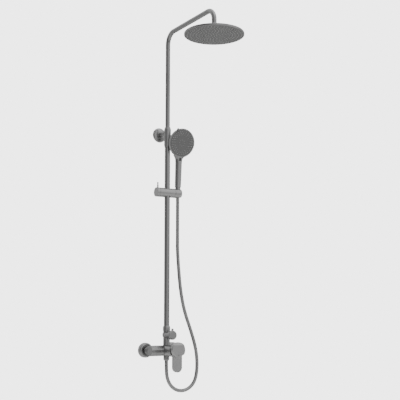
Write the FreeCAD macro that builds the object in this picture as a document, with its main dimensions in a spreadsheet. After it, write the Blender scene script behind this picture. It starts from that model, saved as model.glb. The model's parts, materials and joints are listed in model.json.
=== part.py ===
"""Rainfall shower column for a wall: single-lever mixer, telescopic riser with a
swivel arm and ball-jointed overhead shower, sliding holder, hand shower and hose.

Row frame in millimetres: X runs along the wall, Y points into the wall, Z is up.
The origin lies on the finished wall, midway between the two water supplies.
"""
import FreeCAD, Part
import math
import os
from types import SimpleNamespace

import Sketcher

os.makedirs("parts", exist_ok=True)
doc = FreeCAD.newDocument("ShowerColumn")
Vector = FreeCAD.Vector

# ---------------------------------------------------------------- driving dimensions
SIZES = [
    # place of the column on the wall
    ("wall_gap", 70, "riser axis to the finished wall"),
    ("supply_pitch", 120, "centres of the two supplies"),
    ("wall_depth", 20, "length of supply thread inside the wall"),
    # mixer
    ("body_radius", 20.5, "mixer body"),
    ("body_length", 148, "mixer body along the wall"),
    ("barrel_radius", 22, "cartridge barrel"),
    ("barrel_length", 58, "riser axis to the front of the barrel"),
    ("seat_radius", 17.8, "bore for the cartridge"),
    ("seat_depth", 44, "depth of that bore"),
    ("inlet_radius", 13.2, "inlet boss, G3/4"),
    ("supply_radius", 10.48, "supply thread, G1/2"),
    ("union_nut_radius", 16, "union nut"),
    ("rosette_radius", 29, "supply rosette"),
    ("rosette_depth", 20, "supply rosette"),
    ("rosette_wall", 1.6, "supply rosette wall"),
    ("outlet_radius", 10.45, "hose thread, G1/2"),
    ("outlet_nut_radius", 11.9, "lower hose nut"),
    ("outlet_drop", 22.5, "mixer axis to the shoulder of the outlet"),
    # mixer lever
    ("lever_pivot", 36, "riser axis to the lever pivot"),
    ("spindle_radius", 3.5, "lever spindle"),
    ("hub_radius", 30, "lever hub disc"),
    ("hub_rise", 8, "hub centre above the barrel axis"),
    ("hub_back", 84, "riser axis to the back of the hub"),
    ("hub_front", 96, "riser axis to the front of the hub"),
    ("crown_rise", 24, "barrel axis to the top edge of the hub's flat front"),
    ("blade_back", 77, "riser axis to the back of the blade"),
    ("blade_front", 89, "riser axis to the front of the blade"),
    ("blade_width", 38, "lever blade"),
    ("blade_drop", 78.5, "barrel axis to the tip of the blade"),
    # diverter
    ("post_wall", 2.35, "post between mixer and riser, outside the lower tube"),
    ("stub_foot", 24, "mixer axis to the foot of the post"),
    ("diverter_height", 60, "mixer axis to the diverter axis"),
    ("diverter_radius", 13.5, "diverter barrel"),
    ("diverter_length", 37, "riser axis to the front of that barrel"),
    ("knob_radius", 17.8, "diverter knob"),
    ("knob_length", 15, "diverter knob"),
    ("knob_pin_radius", 4.6, "finger pin on that knob"),
    # riser
    ("post_top", 75, "mixer axis to the top of the post"),
    ("collar_wall", 3.5, "riser nut outside the lower tube"),
    ("collar_length", 21, "riser nut"),
    ("tube_radius", 11, "lower tube"),
    ("tube_wall", 1, "both tubes"),
    ("tube_reach", 34.5, "top of the lower tube to the top of the sleeve"),
    ("tube_step", 1.5, "radius of the lower tube less that of the upper"),
    ("inner_overlap", 326, "upper tube inside the sleeve and lower tube"),
    ("running_gap", 0.1, "radial clearance of sliding and turning fits"),
    ("part_gap", 0.3, "clearance between parts that move past each other"),
    ("sleeve_wall", 3, "telescopic sleeve outside the lower tube"),
    ("sleeve_length", 83, "telescopic sleeve"),
    ("sleeve_top", 886.5, "mixer axis to the top of the sleeve"),
    # wall bracket
    ("bracket_drop", 20.5, "top of the sleeve to the bracket rod"),
    ("rod_radius", 9, "bracket rod"),
    ("plate_radius", 24, "wall plate"),
    ("plate_thickness", 5, "wall plate"),
    ("screw_pitch", 30, "centres of the two wall screws"),
    ("screw_radius", 2.4, "wall screw"),
    ("screw_length", 35, "wall screw under its head"),
    ("cap_radius", 30, "bracket rosette"),
    ("cap_depth", 12, "bracket rosette"),
    # arm and overhead shower
    ("arm_height", 1275, "mixer axis to the arm axis"),
    ("arm_reach", 350, "riser axis to the drop axis"),
    ("bend_radius", 45, "both bends of the arm"),
    ("drop_end", 1205, "mixer axis to the end of the drop"),
    ("ball_radius", 9, "ball joint"),
    ("ball_height", 1193, "mixer axis to the centre of the ball"),
    ("head_radius", 112.5, "overhead shower"),
    ("head_bottom", 1169, "mixer axis to the underside of the head"),
    ("head_thickness", 9, "rim of the head"),
    ("nozzle_pitch", 11.2, "between rings of nozzles on the head"),
    # slider and holder
    ("slider_height", 620, "mixer axis to the slider axis"),
    ("slider_radius", 18.7, "slider drum"),
    ("slider_left", 51.5, "riser axis to the left end of the drum"),
    ("lock_length", 12.5, "lock knob"),
    ("slider_split", 30, "riser axis to the joint of the holder"),
    ("slider_right", 60.5, "riser axis to the right end of the drum"),
    ("bush_wall", 2.5, "slider bush outside the lower tube"),
    ("bush_length", 25, "slider bush"),
    ("lock_pin_rise", 40, "slider axis to the tip of the lock pin"),
    ("holder_offset", 48, "riser axis to the cone of the holder"),
    ("cone_top", 10.6, "radius of that cone at the top of the drum"),
    ("cone_bottom", 8.9, "radius of that cone at the bottom"),
    # hand shower
    ("nut_radius", 12.6, "cone nut above the holder"),
    ("nut_bottom", 25, "slider axis to the shoulder of the nut"),
    ("handle_bottom", 37, "slider axis to the foot of the handle"),
    ("handle_radius", 12.8, "handle at its foot"),
    ("grip_length", 91, "straight part of the handle"),
    ("insert_start", 131.5, "slider axis to the foot of the neck insert"),
    ("face_radius", 58.5, "spray face"),
    ("face_height", 203, "slider axis to the centre of the face, along the handle"),
    ("face_offset", 23.2, "handle axis to the centre of the face"),
    ("shell_rim", 7, "thickness of the shell at its rim"),
    ("shell_depth", 19, "thickness of the shell at its middle"),
    ("plate_recess", 4.5, "depth of the seat for the spray plate"),
    ("spray_radius", 53, "spray plate"),
    # hose
    ("hose_radius", 7, "shower hose"),
]
LEAN = 3.0  # degrees that the hand shower leans forward in its holder
FACE_TILT = 12.3  # degrees between the spray face and the handle

sheet = doc.addObject("Spreadsheet::Sheet", "Sizes")
for row, (name, value, note) in enumerate(SIZES, 1):
    sheet.set(f"A{row}", note)
    sheet.set(f"B{row}", str(value))
    sheet.setAlias(f"B{row}", name)
doc.recompute()


class Size:
    """A length with its value and the sheet expression that it comes from."""

    def __init__(self, text, value):
        self.text = text
        self.value = value

    def joined(self, sign, other, value):
        return Size(f"({self.text} {sign} {other.text})", value)

    def __add__(self, other):
        other = size(other)
        return self.joined("+", other, self.value + other.value)

    def __sub__(self, other):
        other = size(other)
        return self.joined("-", other, self.value - other.value)

    def __mul__(self, other):
        other = size(other)
        return self.joined("*", other, self.value * other.value)

    def __truediv__(self, other):
        other = size(other)
        return self.joined("/", other, self.value / other.value)

    def __neg__(self):
        return size(0) - self

    def __radd__(self, other):
        return size(other) + self

    def __rsub__(self, other):
        return size(other) - self

    def __rmul__(self, other):
        return size(other) * self


def size(number):
    """The number as a Size, if it isn't one."""
    if isinstance(number, Size):
        return number
    return Size(repr(float(number)), float(number))


S = SimpleNamespace(**{name: Size(f"Sizes.{name}", float(value)) for name, value, _ in SIZES})
S.inner_radius = S.tube_radius - S.tube_step
S.sleeve_radius = S.tube_radius + S.sleeve_wall
S.bush_radius = S.tube_radius + S.bush_wall
S.collar_radius = S.tube_radius + S.collar_wall
S.stub_radius = S.tube_radius + S.post_wall
riser_y = -S.wall_gap

# ---------------------------------------------------------------- ways of making a piece
TURNS = {
    "+Z": FreeCAD.Rotation(),
    "-Z": FreeCAD.Rotation(Vector(1, 0, 0), 180),
    "+X": FreeCAD.Rotation(Vector(0, 1, 0), 90),
    "-X": FreeCAD.Rotation(Vector(0, 1, 0), -90),
    "+Y": FreeCAD.Rotation(Vector(1, 0, 0), -90),
    "-Y": FreeCAD.Rotation(Vector(1, 0, 0), 90),
}
nodes = {}


def node(thing):
    """Counts a finished piece as a node of the part."""
    nodes[thing.Label] = thing
    return thing


def bind(thing, prop, length):
    """Ties one property to the sheet."""
    thing.setExpression(prop, size(length).text)


def put(thing, x, y, z, turn):
    """Places a piece with its origin at x, y, z and its own Z turned as said."""
    rotation = TURNS[turn] if isinstance(turn, str) else turn
    base = Vector(size(x).value, size(y).value, size(z).value)
    thing.Placement = FreeCAD.Placement(base, rotation)
    bind(thing, ".Placement.Base.x", x)
    bind(thing, ".Placement.Base.y", y)
    bind(thing, ".Placement.Base.z", z)
    return thing


def origin_plane(body, role):
    return next(f for f in body.Origin.OriginFeatures if f.Role == role)


def profile(body, role, points):
    """A closed outline on one of the body's own planes. Each point is pinned to the sheet."""
    sketch = body.newObject("Sketcher::SketchObject", body.Label + "_outline")
    sketch.AttachmentSupport = [(origin_plane(body, role), "")]
    sketch.MapMode = "FlatFace"
    points = [(size(a), size(b)) for a, b in points]
    count = len(points)
    for i in range(count):
        start, end = points[i], points[(i + 1) % count]
        from_point = Vector(start[0].value, start[1].value, 0)
        to_point = Vector(end[0].value, end[1].value, 0)
        line = Part.LineSegment(from_point, to_point)
        sketch.addGeometry(line, False)
    for i in range(count):
        sketch.addConstraint(Sketcher.Constraint("Coincident", i, 2, (i + 1) % count, 1))
    for i, (across, along) in enumerate(points):
        pinned = (("DistanceX", across, -2), ("DistanceY", along, -1))
        for kind, length, own_axis in pinned:
            if abs(length.value) < 1e-9:
                sketch.addConstraint(Sketcher.Constraint("PointOnObject", i, 1, own_axis))
            else:
                index = sketch.addConstraint(Sketcher.Constraint(kind, -1, 1, i, 1, length.value))
                bind(sketch, f"Constraints[{index}]", length)
    return sketch


def round_edges(body, feature, rounds):
    """Rounds the circular edges at each (radius, height) of a turned piece."""
    for radius, height, fillet_radius in rounds:
        doc.recompute()
        names = []
        for index, edge in enumerate(feature.Shape.Edges, 1):
            curve = edge.Curve
            if not isinstance(curve, Part.Circle):
                continue
            off_radius = abs(curve.Radius - size(radius).value)
            off_height = abs(curve.Center.z - size(height).value)
            if off_radius < 0.01 and off_height < 0.01:
                names.append(f"Edge{index}")
        if not names:
            raise ValueError(f"{body.Label} has no edge to round at {size(height).value}")
        fillet = body.newObject("PartDesign::Fillet", body.Label + "_round")
        fillet.Base = (feature, names)
        fillet.Radius = size(fillet_radius).value
        bind(fillet, "Radius", fillet_radius)
        feature = fillet
    return feature


def turned(label, where, outline, rounds=()):
    """A piece turned about its own Z from (radius, height) points; where is x, y, z, turn."""
    body = doc.addObject("PartDesign::Body", label)
    body.Label = label
    sketch = profile(body, "XZ_Plane", outline)
    solid = body.newObject("PartDesign::Revolution", label + "_turned")
    solid.Profile = sketch
    solid.ReferenceAxis = (sketch, ["V_Axis"])
    solid.Angle = 360
    last = round_edges(body, solid, rounds)
    sketch.Visibility = False
    body.Tip = last
    return put(body, *where)


def plate(label, where, outline, thickness):
    """A flat piece: an outline on its own XY plane with a thickness along its own Z."""
    body = doc.addObject("PartDesign::Body", label)
    body.Label = label
    sketch = profile(body, "XY_Plane", outline)
    pad = body.newObject("PartDesign::Pad", label + "_pad")
    pad.Profile = sketch
    pad.Length = size(thickness).value
    bind(pad, "Length", thickness)
    body.Tip = pad
    return put(body, *where)


def cylinder(label, where, radius, length):
    thing = doc.addObject("Part::Cylinder", label)
    thing.Label = label
    bind(thing, "Radius", radius)
    bind(thing, "Height", length)
    return put(thing, *where)


def cone(label, where, radius_low, radius_high, length):
    thing = doc.addObject("Part::Cone", label)
    thing.Label = label
    bind(thing, "Radius1", radius_low)
    bind(thing, "Radius2", radius_high)
    bind(thing, "Height", length)
    return put(thing, *where)


def ball(label, where, radius):
    thing = doc.addObject("Part::Sphere", label)
    thing.Label = label
    bind(thing, "Radius", radius)
    return put(thing, *where)


def block(label, corner, lengths, turn="+Z"):
    """A box from its low corner, with its lengths along its own X, Y and Z."""
    thing = doc.addObject("Part::Box", label)
    thing.Label = label
    for prop, length in zip(("Length", "Width", "Height"), lengths):
        bind(thing, prop, length)
    return put(thing, *corner, turn)


def fuse(label, *things):
    joined = doc.addObject("Part::MultiFuse", label)
    joined.Label = label
    joined.Shapes = list(things)
    joined.Refine = True
    return joined


def cut(label, base, *tools):
    """Base without the tools."""
    carved = doc.addObject("Part::Cut", label)
    carved.Label = label
    carved.Base = base
    carved.Tool = tools[0] if len(tools) == 1 else fuse(label + "_tools", *tools)
    carved.Refine = True
    return carved


def common(label, one, other):
    """Only what both have."""
    shared = doc.addObject("Part::MultiCommon", label)
    shared.Label = label
    shared.Shapes = [one, other]
    return shared


def group(label, *things):
    """Separate solids kept in one node."""
    together = doc.addObject("Part::Compound", label)
    together.Label = label
    together.Links = list(things)
    return together


def mirrored(thing):
    """The same piece on the other side of the column."""
    other = doc.addObject("Part::Mirroring", thing.Label + "_mirror")
    other.Label = thing.Label + "_mirror"
    other.Source = thing
    other.Normal = Vector(1, 0, 0)
    return other


def shaped(label, shape):
    """A piece whose shape is worked out in code from the sheet's values."""
    thing = doc.addObject("Part::Feature", label)
    thing.Label = label
    thing.Shape = shape
    return thing


def ring(label, where, inner, outer, length, rounds=()):
    outline = [(inner, 0), (outer, 0), (outer, length), (inner, length)]
    return turned(label, where, outline, rounds)


# ---------------------------------------------------------------- mixer body
inlet_x = S.supply_pitch / 2
BOSS_LENGTH = 30.0  # riser axis to the face of each inlet boss
WATERWAY = 7.0


def make_mixer_body():
    drum = turned(
        "body_drum",
        (-S.body_length / 2, riser_y, 0, "+X"),
        [(0, 0), (S.body_radius, 0), (S.body_radius, S.body_length), (0, S.body_length)],
        [(S.body_radius, 0, 1.2), (S.body_radius, S.body_length, 1.2)],
    )
    barrel = turned(
        "body_barrel",
        (0, riser_y, 0, "-Y"),
        [(0, 0), (S.barrel_radius, 0), (S.barrel_radius, S.barrel_length), (0, S.barrel_length)],
        [(S.barrel_radius, S.barrel_length, 0.8)],
    )
    top_boss = cylinder("body_top_boss", (0, riser_y, 0, "+Z"), S.stub_radius, S.stub_foot)
    low_boss = cylinder("body_low_boss", (0, riser_y, 0, "-Z"), S.outlet_nut_radius, S.outlet_drop)
    bosses = [
        cylinder(f"body_inlet_{side}", (x, riser_y, 0, "+Y"), S.inlet_radius, BOSS_LENGTH)
        for side, x in (("left", -inlet_x), ("right", inlet_x))
    ]
    solid = fuse("body_blank", drum, barrel, top_boss, low_boss, *bosses)
    seat_start = S.barrel_length - S.seat_depth
    seat = cylinder("seat_bore", (0, riser_y - seat_start, 0, "-Y"), S.seat_radius, S.seat_depth + 1)
    inlet_ways = []
    for side, sign in (("left", -1), ("right", 1)):
        x = inlet_x * sign
        inlet_ways.append(cylinder(f"inlet_way_{side}", (x, riser_y, 0, "+Y"), WATERWAY, BOSS_LENGTH + 1))
        inward = "+X" if sign < 0 else "-X"
        across = cylinder(f"cross_way_{side}", (x, riser_y, 0, inward), 6, inlet_x - WATERWAY)
        port = cylinder(f"seat_port_{side}", (8.0 * sign, riser_y, 0, "-Y"), 3, seat_start + 1)
        inlet_ways += [across, port]
    mixed_way = cylinder("mixed_way", (0, riser_y, 12, "-Y"), 3, seat_start + 1)
    outlet_ways = [
        cylinder("up_way", (0, riser_y, 8, "+Z"), 5.5, S.stub_foot),
        cylinder("down_way", (0, riser_y, -8, "-Z"), S.outlet_radius - 3, S.outlet_drop),
    ]
    node(cut("mixer_body", solid, seat, mixed_way, *inlet_ways, *outlet_ways))


def make_supplies():
    """Union, nut, washer, check valve and rosette of the right supply, and their mirror images."""
    washer_start = riser_y + BOSS_LENGTH
    washer = ring("washer_right", (inlet_x, washer_start, 0, "+Y"), 8, 12.6, 2)
    collar_start = washer_start + 2
    reach = S.wall_gap - BOSS_LENGTH - 2 + S.wall_depth
    union = turned(
        "union_right",
        (inlet_x, collar_start, 0, "+Y"),
        [
            (7.6, 0),
            (12.6, 0),
            (12.6, 3.5),
            (10.1, 3.5),
            (10.1, 24),
            (S.supply_radius, 24),
            (S.supply_radius, reach - 1),
            (S.supply_radius - 1, reach),
            (7.6, reach),
        ],
    )
    nut_blank = turned(
        "nut_right_blank",
        (inlet_x, washer_start - 7, 0, "+Y"),
        [
            (S.inlet_radius + S.running_gap, 0),
            (S.union_nut_radius - 1, 0),
            (S.union_nut_radius, 1),
            (S.union_nut_radius, 16),
            (S.union_nut_radius - 1, 17),
            (10.4, 17),
            (10.4, 12.8),
            (S.inlet_radius + S.running_gap, 12.8),
        ],
    )
    flats = []
    for i in range(6):
        turn = FreeCAD.Rotation(Vector(0, 1, 0), 60 * i)
        flat = Part.makeBox(10, 20, 30, Vector(S.union_nut_radius.value * 0.925, 0, -15))
        flat.Placement = FreeCAD.Placement(Vector(inlet_x.value, (washer_start - 8).value, 0), turn)
        flats.append(flat)
    hexagon = shaped("nut_right_flats", Part.makeCompound(flats))
    nut = cut("nut_right", nut_blank, hexagon)
    valve = turned(
        "valve_right",
        (inlet_x, collar_start + 1, 0, "+Y"),
        [(0, 8), (3, 8), (3, 0), (7.5, 0), (7.5, 12), (6, 14), (5, 14), (5, 11), (0, 11)],
    )
    wall = S.rosette_wall
    rosette = turned(
        "rosette_right",
        (inlet_x, 0, 0, "-Y"),
        [
            (S.rosette_radius - wall, 0),
            (S.rosette_radius, 0),
            (S.rosette_radius, S.rosette_depth),
            (S.supply_radius + S.part_gap, S.rosette_depth),
            (S.supply_radius + S.part_gap, S.rosette_depth - wall),
            (S.rosette_radius - wall, S.rosette_depth - wall),
        ],
        [(S.rosette_radius, S.rosette_depth, 7), (S.rosette_radius - wall, S.rosette_depth - wall, 5.4)],
    )
    outlet_washer = ring("outlet_washer", (0, riser_y, -S.outlet_drop - 9, "-Z"), 5.5, S.outlet_radius, 2)
    node(group("flat_washers", washer, mirrored(washer), outlet_washer))
    node(group("wall_unions", union, mirrored(union)))
    node(group("union_nuts", nut, mirrored(nut)))
    node(group("check_valves", valve, mirrored(valve)))
    node(group("supply_rosettes", rosette, mirrored(rosette)))


# ---------------------------------------------------------------- cartridge and lever
def make_cartridge():
    """The pieces in the barrel; depths are counted from the riser axis towards the room."""
    seat_start = S.barrel_length - S.seat_depth
    shell = turned(
        "cartridge_shell",
        (0, riser_y - seat_start, 0, "-Y"),
        [(0, 0), (17.6, 0), (17.6, 33), (12.8, 33), (12.8, 31), (15.6, 31), (15.6, 3), (0, 3)],
    )
    ports = [
        cylinder(f"cartridge_port_{i}", (8.0 * sign, riser_y, 0, "-Y"), 3, seat_start + 4)
        for i, sign in enumerate((-1, 1))
    ]
    mixed = cylinder("cartridge_port_mixed", (0, riser_y, 12, "-Y"), 3, seat_start + 4)
    node(cut("cartridge_body", shell, mixed, *ports))
    disc_start = seat_start + 3
    disc = cylinder("fixed_disc_blank", (0, riser_y - disc_start, 0, "-Y"), 15.4, 4)
    disc_ports = [
        cylinder(f"disc_port_{i}", (8.0 * sign, riser_y - disc_start + 1, 0, "-Y"), 2.8, 6)
        for i, sign in enumerate((-1, 1))
    ]
    node(cut("fixed_disc", disc, *disc_ports))
    moving_start = disc_start + 4.1
    moving = cylinder("moving_disc_blank", (0, riser_y - moving_start, 0, "-Y"), 9.8, 3)
    fork = block("disc_fork", (-2.4, riser_y - moving_start - 4, -2.8), (4.8, 3, 5.6))
    node(cut("moving_disc", moving, fork))

    rotor_start = moving_start + 3.3
    rotor_blank = turned(
        "rotor_blank", (0, riser_y - rotor_start, 0, "-Y"), [(0, 0), (15.2, 0), (15.2, 20), (0, 20)]
    )
    slot = block("rotor_slot", (-4.2, riser_y - S.lever_pivot - 20, -8.4), (8.4, 45, 16.8))
    cross_hole = cylinder("rotor_cross_hole", (-20, riser_y - S.lever_pivot, 0, "+X"), 1.5, 40)
    node(cut("cartridge_rotor", rotor_blank, slot, cross_hole))
    node(cylinder("spindle_pin", (-12, riser_y - S.lever_pivot, 0, "+X"), 1.45, 24))

    tip_start = moving_start + 1.4
    reach = S.hub_back + 8 - tip_start
    blank = turned(
        "spindle_blank",
        (0, riser_y - tip_start, 0, "-Y"),
        [
            (0, 0),
            (S.spindle_radius - 1.5, 0),
            (S.spindle_radius - 1.5, 6),
            (S.spindle_radius, 10),
            (S.spindle_radius, reach),
            (0, reach),
        ],
    )
    eye = cylinder("spindle_eye", (-20, riser_y - S.lever_pivot, 0, "+X"), 1.5, 40)
    node(cut("lever_spindle", blank, eye))
    nut_start = seat_start + 33
    node(ring("cartridge_nut", (0, riser_y - nut_start, 0, "-Y"), 13.2, 17.7, 9))
    node(
        turned(
            "trim_ring",
            (0, riser_y - S.barrel_length, 0, "-Y"),
            [
                (15.5, 0),
                (S.barrel_radius, 0),
                (S.barrel_radius, 1.5),
                (S.barrel_radius - 2.5, 4.5),
                (15.5, 4.5),
            ],
        )
    )


def make_lever():
    """A thick disc with a flat front and a crown that falls back, and a round-ended blade below."""
    depth = S.hub_front - S.hub_back
    shoulder = S.hub_radius - 3.5
    hub = turned(
        "hub_disc",
        (0, riser_y - S.hub_back, S.hub_rise, "-Y"),
        [
            (0, 0),
            (S.hub_radius - 4, 0),
            (S.hub_radius, 4),
            (S.hub_radius, depth - 3),
            (shoulder, depth),
            (0, depth),
        ],
    )
    crown_turn = FreeCAD.Rotation(Vector(1, 0, 0), 45)
    crown_cut = block("crown_cut", (-40, riser_y - S.hub_front, S.crown_rise), (80, 40, 40), crown_turn)
    neck_start = S.hub_back - 12
    neck = cylinder("hub_neck", (0, riser_y - neck_start, 0, "-Y"), 8.5, 14)
    half = S.blade_width / 2
    thickness = S.blade_front - S.blade_back
    blade = block(
        "blade",
        (-half, riser_y - S.blade_front, half - S.blade_drop),
        (S.blade_width, thickness, S.blade_drop - half),
    )
    tip = cylinder("blade_tip", (0, riser_y - S.blade_back, half - S.blade_drop, "-Y"), half, thickness)
    bore = cylinder("hub_bore", (0, riser_y - neck_start + 1, 0, "-Y"), S.spindle_radius, 21)
    plug_seat = cylinder("plug_seat", (0, riser_y - S.hub_front + 3, -14, "-Y"), 2.6, 10)
    grub_hole = cylinder("grub_hole", (0, riser_y - S.hub_back - 3, 0, "-Z"), 2, 40)
    solid = fuse("lever_blank", hub, neck, blade, tip)
    node(cut("lever_handle", solid, crown_cut, bore, plug_seat, grub_hole))
    node(cylinder("lever_screw", (0, riser_y - S.hub_back - 3, -S.spindle_radius, "-Z"), 2, 8))
    node(cylinder("index_plug", (0, riser_y - S.hub_front + 3, -14, "-Y"), 2.6, 3))


# ---------------------------------------------------------------- diverter
def make_diverter():
    post = cylinder("post", (0, riser_y, S.stub_foot, "+Z"), S.stub_radius, S.post_top - S.stub_foot)
    across = turned(
        "diverter_barrel",
        (0, riser_y + S.stub_radius - 1.5, S.diverter_height, "-Y"),
        [
            (0, 0),
            (S.diverter_radius - 2, 0),
            (S.diverter_radius, 2),
            (S.diverter_radius, S.diverter_length + S.stub_radius - 1.5),
            (0, S.diverter_length + S.stub_radius - 1.5),
        ],
    )
    water = cylinder("post_way", (0, riser_y, S.stub_foot - 1, "+Z"), 5.5, S.post_top - S.stub_foot + 2)
    seat = cylinder("diverter_seat", (0, riser_y + 8, S.diverter_height, "-Y"), 10, S.diverter_length + 9)
    node(cut("diverter_body", fuse("diverter_blank", post, across), water, seat))
    inside = (0, riser_y + 8, S.diverter_height, "-Y")
    sleeve = ring("diverter_sleeve", inside, 4.3, 9.9, S.diverter_length + 8)
    windows = cylinder("sleeve_windows", (0, riser_y, S.diverter_height - 12, "+Z"), 5.5, 24)
    node(cut("diverter_cartridge", sleeve, windows))
    knob_start = S.diverter_length + 1
    spindle_reach = knob_start + 10
    spindle = turned(
        "diverter_spindle_blank",
        (0, riser_y + 6, S.diverter_height, "-Y"),
        [(0, 0), (4.2, 0), (4.2, spindle_reach + 6), (0, spindle_reach + 6)],
    )
    gate = block("spindle_gate", (-5, riser_y - 4, S.diverter_height), (10, 8, 6))
    node(cut("diverter_spindle", spindle, gate))
    knob = turned(
        "knob_blank",
        (0, riser_y - knob_start, S.diverter_height, "-Y"),
        [(0, 0), (S.knob_radius, 0), (S.knob_radius, S.knob_length), (0, S.knob_length)],
        [(S.knob_radius, 0, 1.5), (S.knob_radius, S.knob_length, 4)],
    )
    knob_bore = cylinder("knob_bore", (0, riser_y - knob_start + 1, S.diverter_height, "-Y"), 4.2, 11)
    pin_y = riser_y - knob_start - 9
    pin_hole = cylinder("pin_hole", (0, pin_y, S.diverter_height + 9, "+Z"), 2.5, 20)
    node(cut("diverter_knob", knob, knob_bore, pin_hole))
    radius = S.knob_pin_radius
    node(
        turned(
            "diverter_pin",
            (0, pin_y, S.diverter_height + 9, "+Z"),
            [
                (0, 0),
                (2.5, 0),
                (2.5, S.knob_radius - 9 + 0.5),
                (radius, S.knob_radius - 9 + 0.5),
                (radius, S.knob_radius - 9 + 8),
                (0, S.knob_radius - 9 + 8),
            ],
            [(radius, S.knob_radius - 9 + 8, radius * 0.8)],
        )
    )


# ---------------------------------------------------------------- riser
tube_foot = S.post_top + 2
tube_length = S.sleeve_top - S.tube_reach - tube_foot
bracket_height = S.sleeve_top - S.bracket_drop


def make_riser():
    node(ring("riser_seal", (0, riser_y, S.post_top, "+Z"), 8, S.tube_radius + 1, 2))
    bore_radius = S.tube_radius - S.tube_wall
    node(ring("lower_tube", (0, riser_y, tube_foot, "+Z"), bore_radius, S.tube_radius, tube_length))
    node(
        turned(
            "riser_nut",
            (0, riser_y, S.post_top, "+Z"),
            [
                (S.tube_radius + 1.2, 0),
                (S.collar_radius - 0.6, 0),
                (S.collar_radius, 0.6),
                (S.collar_radius, S.collar_length - 7),
                (S.tube_radius + 1.4, S.collar_length),
                (S.tube_radius + 0.02, S.collar_length),
                (S.tube_radius + 0.02, 5),
                (S.tube_radius + 1.2, 5),
            ],
        )
    )
    sleeve_foot = S.sleeve_top - S.sleeve_length
    tube_top = tube_foot + tube_length - sleeve_foot
    sleeve = turned(
        "sleeve_blank",
        (0, riser_y, sleeve_foot, "+Z"),
        [
            (S.tube_radius + 0.02, 0),
            (S.tube_radius + 0.8, 0),
            (S.sleeve_radius, 9),
            (S.sleeve_radius, S.sleeve_length - 9),
            (S.inner_radius + 1.6, S.sleeve_length),
            (S.inner_radius + S.running_gap, S.sleeve_length),
            (S.inner_radius + S.running_gap, tube_top + 0.02),
            (S.tube_radius + 0.02, tube_top + 0.02),
        ],
    )
    rod_seat = cylinder("rod_seat", (0, riser_y + S.tube_radius, bracket_height, "+Y"), 5, 10)
    screw_height = tube_foot + tube_length + 7
    screw_hole = cylinder("sleeve_screw_hole", (S.inner_radius, riser_y, screw_height, "+X"), 2, 10)
    node(cut("sleeve", sleeve, rod_seat, screw_hole))
    screw_x = S.inner_radius + S.part_gap
    length = S.sleeve_radius - screw_x - 0.5
    return cylinder("sleeve_screw", (screw_x, riser_y, screw_height, "+X"), 2, length)


def bent_tube(name, radius, past=0.0):
    """The arm's tube as one solid of the given radius: riser, bend, arm, bend and drop."""
    bend, reach = S.bend_radius, S.arm_reach
    foot = S.sleeve_top - S.inner_overlap
    top = S.arm_height - bend
    drop_foot = S.drop_end - past
    parts = [
        cylinder(f"{name}_riser", (0, riser_y, foot - past, "+Z"), radius, top - foot + past),
        cylinder(f"{name}_arm", (0, riser_y - bend, S.arm_height, "-Y"), radius, reach - 2 * bend),
        cylinder(f"{name}_drop", (0, riser_y - reach, drop_foot, "+Z"), radius, top - drop_foot),
    ]
    # A quarter torus lies in its own XY plane from its X axis to its Y axis.
    up = Vector(0, 0, 1)
    towards_wall = FreeCAD.Rotation(Vector(0, 1, 0), up, Vector(1, 0, 0), "XYZ")
    towards_room = FreeCAD.Rotation(Vector(0, -1, 0), up, Vector(-1, 0, 0), "XYZ")
    turns = (
        ("low", riser_y - bend, towards_wall),
        ("far", riser_y - reach + bend, towards_room),
    )
    for end, y, turn in turns:
        elbow = doc.addObject("Part::Torus", f"{name}_{end}_bend")
        elbow.Label = f"{name}_{end}_bend"
        bind(elbow, "Radius1", bend)
        bind(elbow, "Radius2", radius)
        elbow.Angle3 = 90
        parts.append(put(elbow, 0, y, top, turn))
    return fuse(name, *parts)


def make_arm():
    outside = bent_tube("arm_outside", S.inner_radius)
    inside = bent_tube("arm_inside", S.inner_radius - S.tube_wall, 1.0)
    node(cut("upper_tube", outside, inside))
    foot = S.sleeve_top - S.inner_overlap
    piston_radius = S.tube_radius - S.tube_wall - S.running_gap
    groove = 1.3
    grooves = (4.0, 10.0)
    outline = [(6.5, 0), (piston_radius, 0)]
    for height in grooves:
        outline += [(piston_radius, height), (piston_radius - groove, height)]
        outline += [(piston_radius - groove, height + 2), (piston_radius, height + 2)]
    outline += [(piston_radius, 18), (6.5, 18)]
    node(turned("guide_piston", (0, riser_y, foot - 18 - 0.1, "+Z"), outline))
    seals = []
    for index, height in enumerate(grooves):
        base = foot - 18 - 0.1 + height + 0.2
        outer = S.tube_radius - S.tube_wall - 0.04
        where = (0, riser_y, base, "+Z")
        seal = ring(f"piston_seal_{index}", where, outer - groove, outer, 1.6, [(outer, 0, 0.5)])
        seals.append(seal)
    node(group("piston_seals", *seals))


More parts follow.
